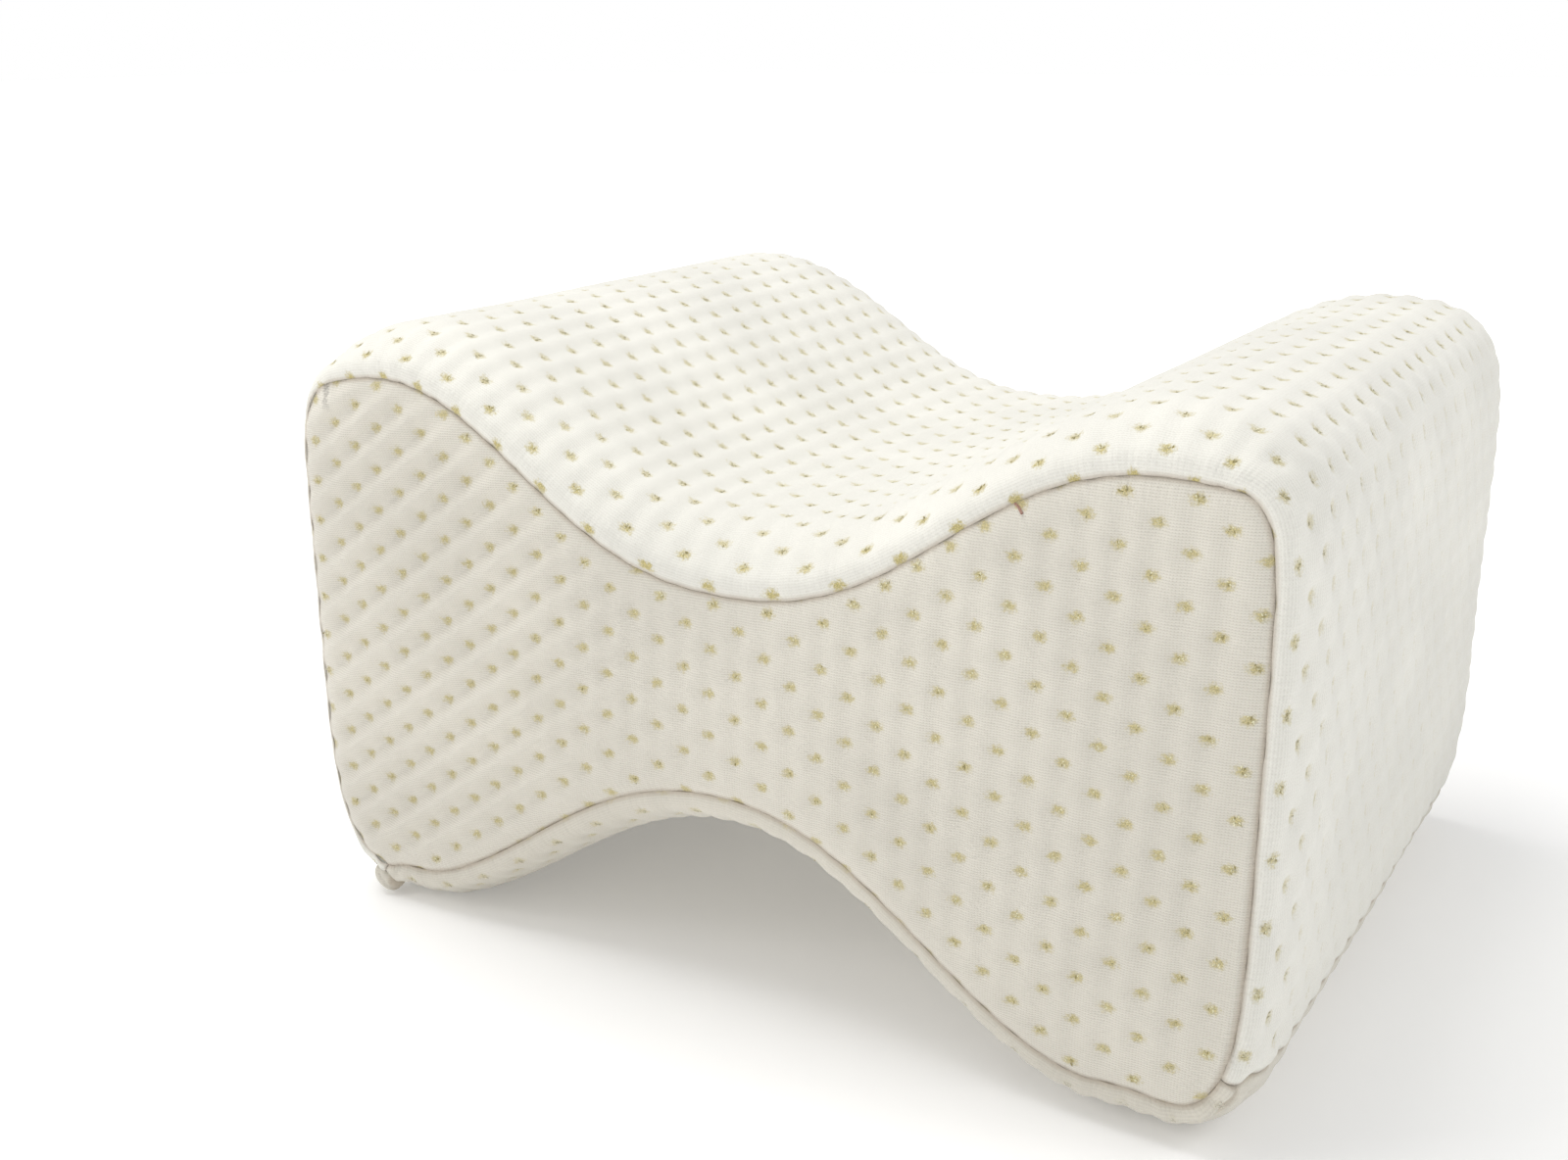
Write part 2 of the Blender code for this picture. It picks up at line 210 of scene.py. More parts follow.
def ease(line, steps):
    """A closed line of rows, each the Hann-weighted mean of its neighbours up to steps away."""
    window = np.hanning(2 * steps + 1)
    window /= window.sum()
    return sum(w * np.roll(line, k, 0) for w, k in zip(window, range(-steps, steps + 1)))


def soften(points):
    """The closed line at even steps, each point the weighted mean of its neighbours."""
    closed = np.vstack([points, points[:1]])
    s = along(closed)
    even = np.linspace(0, s[-1], round(s[-1] / FINE_STEP), endpoint=False)
    return ease(np.stack([np.interp(even, s, closed[:, axis]) for axis in (0, 1)], 1), SOFT_STEPS)


def fine_outline():
    """The closed hourglass outline, clockwise from the middle of the left side, as (x, z)."""
    tops = [lobe_line(lobe, MIDDLE, TROUGH_RISE, TROUGH_SQUARE) for lobe in (TOP_LEFT, TOP_RIGHT)]
    feet = [lobe_line(lobe, MIDDLE + FOOT_PRESS, ARCH_DROP, ARCH_SQUARE) for lobe in (BASE_RIGHT, BASE_LEFT)]
    x = np.concatenate([tops[0][0][:0:-1], tops[1][0], feet[0][0][-2::-1], feet[1][0][1:-1]])
    rise = np.concatenate([tops[0][1][:0:-1], tops[1][1], -feet[0][1][-2::-1], -feet[1][1][1:-1]])
    return soften(np.stack([x, MIDDLE + rise], 1))


class Outline:
    """The outline with its normals and the end seam beside it, readable at any arc length."""

    def __init__(self):
        points = fine_outline()
        run = np.roll(points, -1, 0) - np.roll(points, 1, 0)
        run /= np.linalg.norm(run, axis=1, keepdims=True)
        normals = np.stack([-run[:, 1], run[:, 0]], 1)
        points[:, 1] = np.maximum(points[:, 1], 0)
        level = normals[:, 1] ** 2
        in_trough = np.clip(TROUGH_SHARE * (1 - np.abs(points[:, 0]) / TOP_RIGHT.peak), 0, 1)
        crest = SEAM_IN_CREST + (SEAM_IN_TROUGH - SEAM_IN_CREST) * in_trough
        inset = np.where(normals[:, 1] > 0, crest, SEAM_IN_BASE) * level
        inset += np.where(normals[:, 0] > 0, SEAM_IN_RIGHT, SEAM_IN_LEFT) * (1 - level)
        seam = ease(points - inset[:, None] * normals, SEAM_STEPS)
        columns = np.column_stack([points, normals, seam])
        self.columns = np.vstack([columns, columns[:1]])
        self.s = along(self.columns[:, :2])

    def at(self, s):
        """(points, normals, seam points) at arc lengths s."""
        s = np.mod(s, self.s[-1])
        read = np.stack([np.interp(s, self.s, column) for column in self.columns.T], 1)
        normals = read[:, 2:4] / np.linalg.norm(read[:, 2:4], axis=1, keepdims=True)
        return read[:, :2], normals, read[:, 4:]

    def nearest(self, corner):
        """Arc length of the outline's point nearest to (x, z)."""
        return self.s[np.argmin(np.linalg.norm(self.columns[:, :2] - np.array(corner), axis=1))]


OUTLINE = Outline()
LOOP = OUTLINE.s[-1]
AT_TOP_LEFT, AT_TOP_RIGHT, AT_RIGHT_CROSS, AT_LEFT_CROSS = (
    OUTLINE.nearest(c) for c in (TOP_LEFT_CORNER, TOP_RIGHT_CORNER, RIGHT_CROSS_SEAM, LEFT_CROSS_SEAM)
)


def smooth(t):
    """0 to 1 with level ends, as 3t^2 - 2t^3."""
    t = np.clip(t, 0, 1)
    return t * t * (3 - 2 * t)


def bell(distance, at, width):
    """A Gaussian of height 1 around at, which falls to 1/e at width from it."""
    return np.exp(-(((distance - at) / width) ** 2))


def waves(x, y, seed, count, low, high):
    """A soft random field from -1 to 1: the mean of a few plane sine waves of seeded direction."""
    rng = np.random.default_rng(seed)
    turn, phase = rng.uniform(0, 2 * np.pi, (2, count))
    length = rng.uniform(low, high, count)
    total = sum(
        np.sin(2 * np.pi * (x * np.cos(a) + y * np.sin(a)) / l + p) for a, l, p in zip(turn, length, phase)
    )
    return total / count


def puff(across, up, slant, counter, ribs, dimple, pitch):
    """Height of the knit over its ground, where tufts stand at equal-parity whole numbers.

    Two slanting cosine ribs and one upright one have their valleys on the tufts, and each tuft
    adds a Gaussian dimple around itself.
    """
    height = -slant * np.cos(np.pi * (up - across)) - counter * np.cos(np.pi * (up + across))
    height = height - ribs * np.cos(2 * np.pi * across)
    for shift in (0, 1):
        a = (across + shift + 1) % 2 - 1
        b = (up + shift + 1) % 2 - 1
        reach = (a * pitch[0]) ** 2 + (b * pitch[1]) ** 2
        height = height - dimple * np.exp(-reach / DIMPLE_WIDTH**2)
    return height


def seam_profile(distance, groove, lip):
    """The groove beside a seam and the swell outside it: one Gaussian down, a wider one up."""
    return lip * bell(distance, LIP_AT, LIP_WIDTH) - groove * bell(distance, 0.0, GROOVE_WIDTH)


def grid_faces(rows, columns, first=0, wrap=False):
    """Quads of a grid of vertices numbered row by row from first."""
    r, c = np.meshgrid(np.arange(rows - 1), np.arange(columns if wrap else columns - 1), indexing="ij")
    corner, right = first + r * columns + c, first + r * columns + (c + 1) % columns
    return np.stack([corner, right, right + columns, corner + columns], 2).reshape(-1, 4)


def sheet_faces(rows, columns):
    """Quads of a closed sheet: the outer grid, the inner one facing back, and the rim between."""
    outer = grid_faces(rows, columns)
    number = np.arange(rows * columns).reshape(rows, columns)
    rim = np.concatenate([number[0, :-1], number[:-1, -1], number[-1, :0:-1], number[:0:-1, 0]])
    after = np.roll(rim, -1)
    walls = np.stack([after, rim, rim + number.size, after + number.size], 1)
    return np.concatenate([outer, outer[:, ::-1] + number.size, walls])


def end_fans(rows, columns):
    """Triangles closing a wrapped grid of vertices onto two more, after its last one."""
    first, last = np.arange(columns), (rows - 1) * columns + np.arange(columns)
    hub = np.full(columns, rows * columns)
    return np.concatenate([
        np.stack([hub, np.roll(first, -1), first], 1), np.stack([hub + 1, last, np.roll(last, -1)], 1)
    ])


def volume(points, faces):
    """Six times the signed volume inside faces: the sum of their triangles' corner determinants."""
    first = points[faces[:, 0]]
    pairs = ((points[faces[:, k]], points[faces[:, k + 1]]) for k in range(1, faces.shape[1] - 1))
    return sum((np.cross(b, c) * first).sum() for b, c in pairs)


def make(name, points, quads, material, maps=(), values=(), triangles=None):
    """A closed mesh object with UV maps in metres and point values, facing outwards."""
    turned = volume(points, quads) < 0
    faces = quads[:, ::-1].tolist() if turned else quads.tolist()
    if triangles is not None:
        faces += triangles[:, ::-1].tolist() if turned else triangles.tolist()
    mesh = bpy.data.meshes.new(name)
    mesh.from_pydata(points.tolist(), [], faces)
    corner = np.empty(len(mesh.loops), dtype=np.int32)
    mesh.loops.foreach_get("vertex_index", corner)
    for title, uv in maps:
        layer = mesh.uv_layers.new(name=title)
        layer.data.foreach_set("uv", uv[corner].astype(np.float32).ravel())
    for title, value in values:
        layer = mesh.attributes.new(title, "FLOAT", "POINT")
        layer.data.foreach_set("value", value.astype(np.float32))
    mesh.shade_smooth()
    mesh.materials.append(material)
    obj = bpy.data.objects.new(name, mesh)
    bpy.context.scene.collection.objects.link(obj)
    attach(obj, "root")
    return obj


def section(s, skin):
    """Rows of the cover from the front seam over the outside to the back seam, at columns s.

    Each roll is a quarter ellipse: from the seam towards the outline by cos, against roll * sin
    along Y, with its rows closer together near the seam. skin is the depth under the outside.
    """
    points, normals, seam = OUTLINE.at(s)
    rise = points - skin * normals - seam
    turn = np.pi / 2 * (1 - np.linspace(0, 1, ROLL_STEPS + 1) ** ROLL_CROWDING)[:, None]
    ends = []
    for end, roll in ((-1, FRONT_ROLL), (1, BACK_ROLL)):
        flat = seam[None] + rise[None] * np.cos(turn)[..., None]
        y = np.broadcast_to(end * (SEAM_Y - roll + (roll - skin) * np.sin(turn)), flat.shape[:2])
        ends.append(np.dstack([flat[..., 0], y, flat[..., 1]]))
    front, back = ends[0], ends[1][::-1]
    share = np.linspace(0, 1, DEPTH_STEPS + 1)[1:-1, None, None]
    return np.concatenate([front, front[-1] + (back[0] - front[-1]) * share, back])


def grid_normals(grid, normals):
    """Unit normals of a grid, from its row and column differences, turned to the outline's side."""
    across = np.cross(np.gradient(grid, axis=0), np.gradient(grid, axis=1))
    across /= np.maximum(np.linalg.norm(across, axis=2, keepdims=True), 1e-12)
    middle = grid.shape[0] // 2
    side = across[middle, :, 0] * normals[:, 0] + across[middle, :, 2] * normals[:, 1]
    return across * np.sign(side.sum())


def cloth_map(s, grid):
    """Band cloth coordinates in lattice steps, and each point's distance from its end seam."""
    step = np.linalg.norm(np.diff(grid, axis=0), axis=2)
    run = np.concatenate([np.zeros((1, grid.shape[1])), np.cumsum(step, axis=0)])
    middle = np.array([np.interp(0.0, grid[:, c, 1], run[:, c]) for c in (0, grid.shape[1] // 2, -1)])
    centre = np.interp(np.arange(grid.shape[1]), (0, grid.shape[1] // 2, grid.shape[1] - 1), middle)
    up = (run - centre) / BAND_UP
    across = np.broadcast_to(s / BAND_ACROSS, run.shape)
    return across, up, np.minimum(run, run[-1] - run)


def raise_cover(s, cross_gap, sizes, tuck=0.0):
    """The outside of the band or base with its relief, and the maps that go with it.

    cross_gap is each column's distance from the nearest cross seam, and tuck the depth of the
    tuck that runs along the front roll there.
    """
    grid = section(s, 0.0)
    outline_points, outline_normals, _ = OUTLINE.at(s)
    normals = grid_normals(grid, outline_normals)
    across, up, seam = cloth_map(s, grid)
    side = smooth(np.abs(outline_normals[:, 0]) * 1.6 - 0.5)[None]
    honey = HONEY + SIDE_HONEY * side
    ribs = BAND_RIBS * (1 - side)
    dimple = sizes.dimple * (0.15 + 1.25 * side)
    height = puff(across, up, honey, honey, ribs, dimple, (BAND_ACROSS, BAND_UP))
    calm = smooth((seam - 0.002) / 0.008)
    lengthwise = np.broadcast_to(s, seam.shape)
    pucker = PUCKER * waves(lengthwise, 0 * seam, 5, 6, 0.006, 0.013) * np.exp(-seam / PUCKER_FADE)
    height = height * (0.35 + 0.65 * calm) + pucker
    height += UNEVEN * waves(lengthwise, grid[..., 1], 11, 7, 0.045, 0.11) * calm
    height += seam_profile(seam, sizes.groove, sizes.lip)
    height += seam_profile(cross_gap, 0.8 * sizes.groove, 0.3 * sizes.lip)[None] * smooth(seam / 0.004)
    gather = GATHER * bell(cross_gap[None], GATHER_AT, GATHER_WIDTH) * np.exp(-seam / GATHER_FADE)
    height += gather * np.sin(2 * np.pi * (seam * 0.8 + cross_gap[None] * 0.5) / GATHER_PITCH)
    tuck = np.broadcast_to(tuck, seam.shape) * (grid[..., 1] < 0)
    height += tuck * (0.7 * bell(seam, TUCK_AT - 0.0014, 0.0011) - bell(seam, TUCK_AT, 0.0007))
    outside = grid + height[..., None] * normals
    pressed = smooth(grid[..., 2] / 0.004)
    outside[..., 2] = np.maximum(outside[..., 2], grid[..., 2] * (1 - pressed))
    # Distance that sets the painted shade: from the end seam and the cross seams, and a painted shade line along
    # the tuck's crease
    shade = np.minimum(seam, np.broadcast_to(cross_gap, seam.shape) + 0.0002)
    shade = np.minimum(shade, np.abs(seam - TUCK_AT) + 0.003 * (1 - tuck / TUCK_DEPTH))
    cloth = np.stack([across * HALF_ACROSS, up * HALF_UP], 2)
    edge = np.stack([lengthwise, shade], 2)
    return outside, normals, cloth, edge, (across, up, seam)


def seam_loop(columns_top, columns_side, deeper):
    """The end seam's four stretches (top, right, base, left), moved inside the outline by deeper."""
    spans = (
        (AT_TOP_LEFT, AT_TOP_RIGHT, columns_top),
        (AT_TOP_RIGHT, AT_RIGHT_CROSS, columns_side),
        (AT_RIGHT_CROSS, AT_LEFT_CROSS, columns_top),
        (AT_LEFT_CROSS, AT_TOP_LEFT + LOOP, columns_side),
    )
    edges = []
    for start, stop, steps in spans:
        _, normals, seam = OUTLINE.at(np.linspace(start, stop, steps + 1))
        edges.append(seam - deeper * normals)
    return edges


def patch(edges, columns, rows):
    """A grid filling the seam: straight columns, plus each side line's bow dying away from it."""
    top, right, base, left = edges
    base, right = base[::-1], right[::-1]
    u = np.linspace(0, 1, columns + 1)[None, :, None]
    v = np.linspace(0, 1, rows + 1)[:, None, None]
    left_bow = left[:, None] - ((1 - v) * left[0] + v * left[-1])
    right_bow = right[:, None] - ((1 - v) * right[0] + v * right[-1])
    straight = (1 - v) * base[None] + v * top[None]
    return straight + (1 - u) ** BOW_FADE * left_bow + u**BOW_FADE * right_bow


SEAM_LINE = np.concatenate([edge[:-1] for edge in seam_loop(120, 60, 0.0)])


def seam_reach(flat):
    """Distance of (x, z) points from the end seam, and arc length of the nearest seam point."""
    run = np.roll(SEAM_LINE, -1, 0) - SEAM_LINE
    size = np.maximum((run**2).sum(1), 1e-12)
    arc = along(np.vstack([SEAM_LINE, SEAM_LINE[:1]]))
    reach, place = [], []
    for part in np.array_split(flat, 40):
        away = part[:, None] - SEAM_LINE
        share = np.clip((away * run).sum(2) / size, 0, 1)
        gap = np.linalg.norm(away - share[..., None] * run, axis=2)
        best = gap.argmin(1)
        pick = np.arange(len(part))
        reach.append(gap[pick, best])
        place.append(arc[best] + share[pick, best] * np.sqrt(size[best]))
    return np.concatenate(reach), np.concatenate(place)


def crown(distance):
    """How far the stuffed end stands out at a distance from its seam: a parabola, then level."""
    return PANEL_CROWN * (1 - (1 - np.clip(distance / CROWN_REACH, 0, 1)) ** 2)


def panel_cloth(x, z):
    """Lattice steps (across, up) of end panel points, the inverse of the two measured rises."""
    rises = np.array([PANEL_RISE_A, PANEL_RISE_B]).T
    a, b = np.linalg.inv(rises) @ np.stack([x - PANEL_START[0], z - PANEL_START[1]])
    return b - a, a + b


def panel_height(x, z, reach, end, sizes):
    """Relief of an end panel over its smooth crown.

    Ribs and dimples calm down towards the seam. A broad unevenness, the ridge on the lower right
    edge and the seam's own profile are added to them.
    """
    across, up = panel_cloth(x, z)
    left = smooth((-x - 0.015) / 0.055)
    slant = sizes.slant_ribs * (0.15 + 0.85 * left)
    counter = sizes.slant_ribs * 0.10
    ribs = sizes.upright_ribs * (1 - 0.6 * left)
    height = puff(across, up, slant, counter, ribs, sizes.dimple * 0.5, (HALF_ACROSS, HALF_UP))
    height *= 0.3 + 0.7 * smooth((reach - 0.001) / 0.009)
    height += PANEL_UNEVEN * waves(x, z, 21 + end, 6, 0.05, 0.12) * smooth(reach / 0.03)
    ridge = smooth((x - 0.105) / 0.015) * smooth((0.095 - z) / 0.03)
    edge = PANEL_RIDGE * ridge * bell(reach, 0.0012, 0.0010)
    return height + edge + seam_profile(reach, sizes.groove, 0.45 * sizes.lip)


def scaled(colour, by):
    """A shader colour: the channels times by, one number or one for each, and 1 at the most."""
    return (*np.minimum(np.array(colour) * by, 1.0).tolist(), 1.0)


class Nodes:
    """Short hands for one material's node tree."""

    def __init__(self, name):
        self.material = bpy.data.materials.new(name)
        self.material.use_nodes = True
        self.tree = self.material.node_tree
        self.shader = self.tree.nodes["Principled BSDF"]

    def add(self, kind, inputs=None, **settings):
        node = self.tree.nodes.new(kind)
        for key, value in settings.items():
            setattr(node, key, value)
        for key, value in (inputs or {}).items():
            self.put(node.inputs[key], value)
        return node

    def put(self, socket, value):
        """Links value to the socket where it is an output, or else sets it there."""
        if isinstance(value, bpy.types.NodeSocket):
            self.tree.links.new(value, socket)
        else:
            socket.default_value = value

    def vector(self, operation, *values):
        return self.add("ShaderNodeVectorMath", dict(enumerate(values)), operation=operation).outputs

    def math(self, operation, a, b=0.0, c=0.0):
        return self.add("ShaderNodeMath", {0: a, 1: b, 2: c}, operation=operation).outputs[0]

    def noise(self, place, scale, detail=2.0, rough=0.5):
        inputs = {"Vector": place, "Scale": scale, "Detail": detail, "Roughness": rough}
        return self.add("ShaderNodeTexNoise", inputs).outputs["Fac"]

    def ramp(self, value, low, high, out_low=0.0, out_high=1.0, kind="SMOOTHSTEP"):
        inputs = {0: value, 1: low, 2: high, 3: out_low, 4: out_high}
        return self.add("ShaderNodeMapRange", inputs, interpolation_type=kind).outputs[0]

    def blend(self, factor, first, second, kind="MIX"):
        node = self.add("ShaderNodeMix", data_type="RGBA", blend_type=kind)
        for number, value in ((0, factor), (6, first), (7, second)):
            self.put(node.inputs[number], value)
        return node.outputs[2]

    def link(self, value, socket):
        self.tree.links.new(value, self.shader.inputs[socket])


def knit(name, colour, thread, seam, stitch_row, tuft, crisp):
    """Thick tufted knit: stitch rows and loops, fuzz, stretch lines at the seams, woven tufts.

    The cloth map is in metres along the weave, and the edge map holds (along the seam, distance
    from it); where that distance is small the colour takes painted shade. A tuft is a ragged oval
    around each lattice point. crisp is how clear the rows and the painted shade between loops are.
    """
    n = Nodes(name)
    place = n.add("ShaderNodeTexCoord").outputs["Object"]
    cloth = n.add("ShaderNodeUVMap", uv_map="cloth").outputs[0]
    edge = n.add("ShaderNodeUVMap", uv_map="edge").outputs[0]
    u, v = n.add("ShaderNodeSeparateXYZ", {0: cloth}).outputs[:2]
    run, away = n.add("ShaderNodeSeparateXYZ", {0: edge}).outputs[:2]

    # Stitches: rows across the cloth, each loop a small V
    sway = n.math("MULTIPLY", n.noise(cloth, 260.0), 3.2)
    loop = n.math("ABSOLUTE", n.math("SINE", n.math("MULTIPLY", u, np.pi / (1.15 * stitch_row))))
    rows = n.math("MULTIPLY_ADD", v, 2 * np.pi / stitch_row, n.math("MULTIPLY_ADD", loop, 1.3, sway))
    rows = n.math("SINE", rows)
    fuzz = n.noise(place, 2600.0, 3.0, 0.6)
    weave = n.math("MULTIPLY_ADD", rows, 0.000024 * crisp, n.math("MULTIPLY", fuzz, 0.00014))
    weave = n.math("MULTIPLY_ADD", loop, 0.000018 * crisp, weave)
    # Where the loops part, which the colour below darkens as painted shade
    gap = n.ramp(n.math("MULTIPLY_ADD", loop, -0.9, n.math("MULTIPLY", rows, -1.0)), 0.1, 0.95)

    # Fine lines drawn out of the seam by the stretched edge
    wander = n.math("MULTIPLY", n.noise(edge, 150.0), 9.0)
    drawn = n.math("SINE", n.math("MULTIPLY_ADD", run, 2 * np.pi / 0.0017, wander))
    drawn = n.math("MULTIPLY", drawn, n.ramp(away, 0.0, 0.009, 1.0, 0.0))
    weave = n.math("MULTIPLY_ADD", drawn, 0.00004, weave)

    # Tufts: the distance from the nearest lattice point, frayed by noise
    cell = (HALF_ACROSS, HALF_UP, 1.0)
    minus = (-HALF_ACROSS, -HALF_UP, -1.0)
    reaches = []
    for whole in (cloth, n.vector("ADD", cloth, cell)[0]):
        offset = n.vector("WRAP", whole, cell, minus)[0]
        oval = n.vector("MULTIPLY", offset, (0.76, 1.05, 0.0))[0]
        reaches.append(n.vector("LENGTH", oval)["Value"])
    reach = n.math("MINIMUM", *reaches)
    ragged = n.math("MULTIPLY_ADD", n.noise(cloth, 1100.0, 3.0, 0.7), 2.1 * tuft, reach)
    woven = n.ramp(ragged, 1.25 * tuft, 2.15 * tuft, 1.0, 0.0)
    fade = n.add("ShaderNodeAttribute", attribute_name="tone").outputs["Fac"]
    woven = n.math("MULTIPLY", woven, fade)

    # Colour: broad drifts, painted shade in the gaps between the loops, painted brownish shade along the seams,
    # gold tufts
    drift = n.ramp(n.noise(place, 22.0, 2.0), 0.3, 0.7)
    tint = n.blend(drift, scaled(colour, 0.955), scaled(colour, 1.04))
    # Painted shade in the gaps between the loops: a darker brownish tint of the knit
    tint = n.blend(n.math("MULTIPLY", gap, 0.7 * crisp), tint, scaled(colour, (0.78, 0.73, 0.66)))
    grain = n.ramp(n.math("MULTIPLY_ADD", rows, 0.3 * crisp, fuzz), 0.1, 0.9, 0.90, 1.05, "LINEAR")
    grey = n.add("ShaderNodeCombineColor", {0: grain, 1: grain, 2: grain}).outputs[0]
    tint = n.blend(1.0, tint, grey, "MULTIPLY")
    # Painted shade along the seams: the seam colour, strongest at the seam and gone 1.4 mm from it
    tint = n.blend(n.ramp(away, 0.0, 0.0014, 0.56, 0.0), tint, (*seam, 1.0))
    fleck = n.ramp(n.noise(cloth, 3400.0, 1.0), 0.42, 0.62)
    gold = n.blend(fleck, scaled(thread, 1.0), scaled(thread, 1.5))
    tint = n.blend(n.math("MULTIPLY", woven, 0.85), tint, gold)
    n.link(tint, "Base Color")
    n.link(n.ramp(woven, 0.0, 1.0, 0.92, 0.55), "Roughness")
    n.shader.inputs["Sheen Weight"].default_value = 0.25
    n.shader.inputs["Sheen Roughness"].default_value = 0.5
    n.shader.inputs["Subsurface Weight"].default_value = 0.0
    n.shader.inputs["Specular IOR Level"].default_value = 0.25
    raised = n.math("MULTIPLY_ADD", woven, 0.00006, weave)
    bump = n.add("ShaderNodeBump", {"Height": raised, "Distance": 1.0, "Strength": 0.85})
    n.link(bump.outputs[0], "Normal")
    return n.material


def lurex(name, thread, pale):
    """Flat metallic thread: gold fading to the cloth's cream where its tone is low, with glints."""
    n = Nodes(name)
    place = n.add("ShaderNodeTexCoord").outputs["Object"]
    tone = n.add("ShaderNodeAttribute", attribute_name="tone").outputs["Fac"]
    shine = n.add("ShaderNodeAttribute", attribute_name="shine").outputs["Fac"]
    glint = n.ramp(n.math("MULTIPLY_ADD", n.noise(place, 2900.0, 1.0), 0.6, shine), 0.45, 1.15)
    gold = n.blend(glint, scaled(thread, 0.85), scaled(GLINT, 1.0))
    n.link(n.blend(tone, (*pale, 1.0), gold), "Base Color")
    n.link(n.ramp(glint, 0.0, 1.0, 0.6, 0.28), "Roughness")
    n.shader.inputs["Metallic"].default_value = 0.1
    twist = n.noise(place, 5200.0, 1.0)
    bump = n.add("ShaderNodeBump", {"Height": n.math("MULTIPLY", twist, 0.00008), "Distance": 1.0})
    n.link(bump.outputs[0], "Normal")
    return n.material


def twisted(colour):
    """Matte sewing thread with its twist as darker slanting turns."""
    n = Nodes("loose thread")
    place = n.add("ShaderNodeTexCoord").outputs["Object"]
    across, _, up = n.add("ShaderNodeSeparateXYZ", {0: place}).outputs
    turns = n.math("SINE", n.math("MULTIPLY", n.math("ADD", across, up), 2 * np.pi / 0.0004))
    shade = n.ramp(turns, -1.0, 1.0)
    n.link(n.blend(shade, scaled(colour, 0.7), scaled(colour, 1.0)), "Base Color")
    bump = n.add("ShaderNodeBump", {"Height": n.math("MULTIPLY", turns, 0.00004), "Distance": 1.0})
    n.link(bump.outputs[0], "Normal")
    n.shader.inputs["Roughness"].default_value = 0.8
    return n.material


def floor_paint(name, colour):
    """Matte pale floor with a soft mottle, glowing like a lit backdrop further out."""
    n = Nodes(name)
    place = n.add("ShaderNodeTexCoord").outputs["Object"]
    n.link(n.blend(n.noise(place, 6.0), scaled(colour, 0.98), scaled(colour, 1.0)), "Base Color")
    n.shader.inputs["Roughness"].default_value = 0.9
    far = n.vector("LENGTH", place)["Value"]
    n.link(n.ramp(far, 0.30, 1.1, 0.15, 0.75), "Emission Strength")
    n.shader.inputs["Emission Color"].default_value = (1, 1, 1, 1)
    return n.material


def cover_material(kind):
    """The knit of one kind of panel, made once."""
    colours, sizes = bpy.context.scene.pillow_colours, bpy.context.scene.pillow_sizes
    name = kind + " knit"
    if name in bpy.data.materials:
        return bpy.data.materials[name]
    colour = tuple(getattr(colours, kind))
    crisp = 1.0 if kind == "panel" else 0.45
    return knit(name, colour, tuple(colours.thread), tuple(colours.seam), sizes.stitch_row, sizes.tuft, crisp)


def band_tone(s, seam):
    """How gold the band's tufts look: full near the rolls, paler over the top, faint down the sides."""
    _, normals, _ = OUTLINE.at(s)
    side = smooth(np.abs(normals[:, 0]) * 3 - 1.7)[None]
    return 0.78 - 0.33 * side + 0.5 * bell(seam, 0.0, 0.010)


def tuft_mesh(name, centres, normals, runs, tones, material, sizes):
    """Tufts of short raised stitches: seven spindles of six points scattered round each centre.

    Each spindle lies about radially, wider along the run than across it, and bulges at its middle.
    """
    rng = np.random.default_rng(len(centres))
    count = len(centres)
    stitches = (count, TUFT_STITCHES)
    turn = np.linspace(0, 2 * np.pi, TUFT_STITCHES, endpoint=False) + rng.normal(0, 0.3, stitches)
    lean = turn + rng.normal(0, 0.45, stitches)
    middle = sizes.tuft * rng.uniform(0.18, 0.72, stitches)
    half = sizes.tuft * rng.uniform(0.18, 0.34, stitches)
    wide, high = 0.15 * sizes.tuft, 0.00012
    zero, place = np.zeros(stitches), np.stack([1.2 * np.cos(turn), 0.9 * np.sin(turn)], 2)
    ahead, side = (np.stack([np.cos(a), np.sin(a)], 2) for a in (lean, lean + np.pi / 2))
    reach = np.stack([-half, half, zero, zero, zero, zero], 2)
    across = np.stack([zero, zero, zero + wide, zero - wide, zero, zero], 2)
    lift = np.stack([zero, zero, zero, zero, zero + high, zero - high], 2) + 0.00005
    flat = (place * middle[..., None])[:, :, None] + ahead[:, :, None] * reach[..., None]
    flat = flat + side[:, :, None] * across[..., None]
    points = (
        centres[:, None, None]
        + flat[..., :1] * runs[:, None, None]
        + flat[..., 1:] * np.cross(normals, runs)[:, None, None]
        + lift[..., None] * normals[:, None, None]
    ).reshape(-1, 3)
    spindle = np.array([
        [0, 2, 4], [2, 1, 4], [1, 3, 4], [3, 0, 4], [2, 0, 5], [1, 2, 5], [3, 1, 5], [0, 3, 5]
    ])
    faces = (np.arange(count * TUFT_STITCHES)[:, None, None] * 6 + spindle[:, ::-1]).reshape(-1, 3)
    shine = rng.uniform(0, 1, stitches)
    values = [("tone", np.repeat(tones, TUFT_STITCHES * 6)), ("shine", np.repeat(shine, 6))]
    return make(name, points, faces, material, values=values)


def thread_material():
    """The gold thread, made once."""
    colours = bpy.context.scene.pillow_colours
    if "gold thread" in bpy.data.materials:
        return bpy.data.materials["gold thread"]
    return lurex("gold thread", tuple(colours.thread), FADED)


def lattice_points(low_a, high_a, low_b, high_b):
    """Whole-number pairs of equal parity in a rectangle."""
    a, b = np.meshgrid(np.arange(np.ceil(low_a), high_a), np.arange(np.ceil(low_b), high_b))
    keep = (a + b) % 2 == 0
    return a[keep], b[keep]


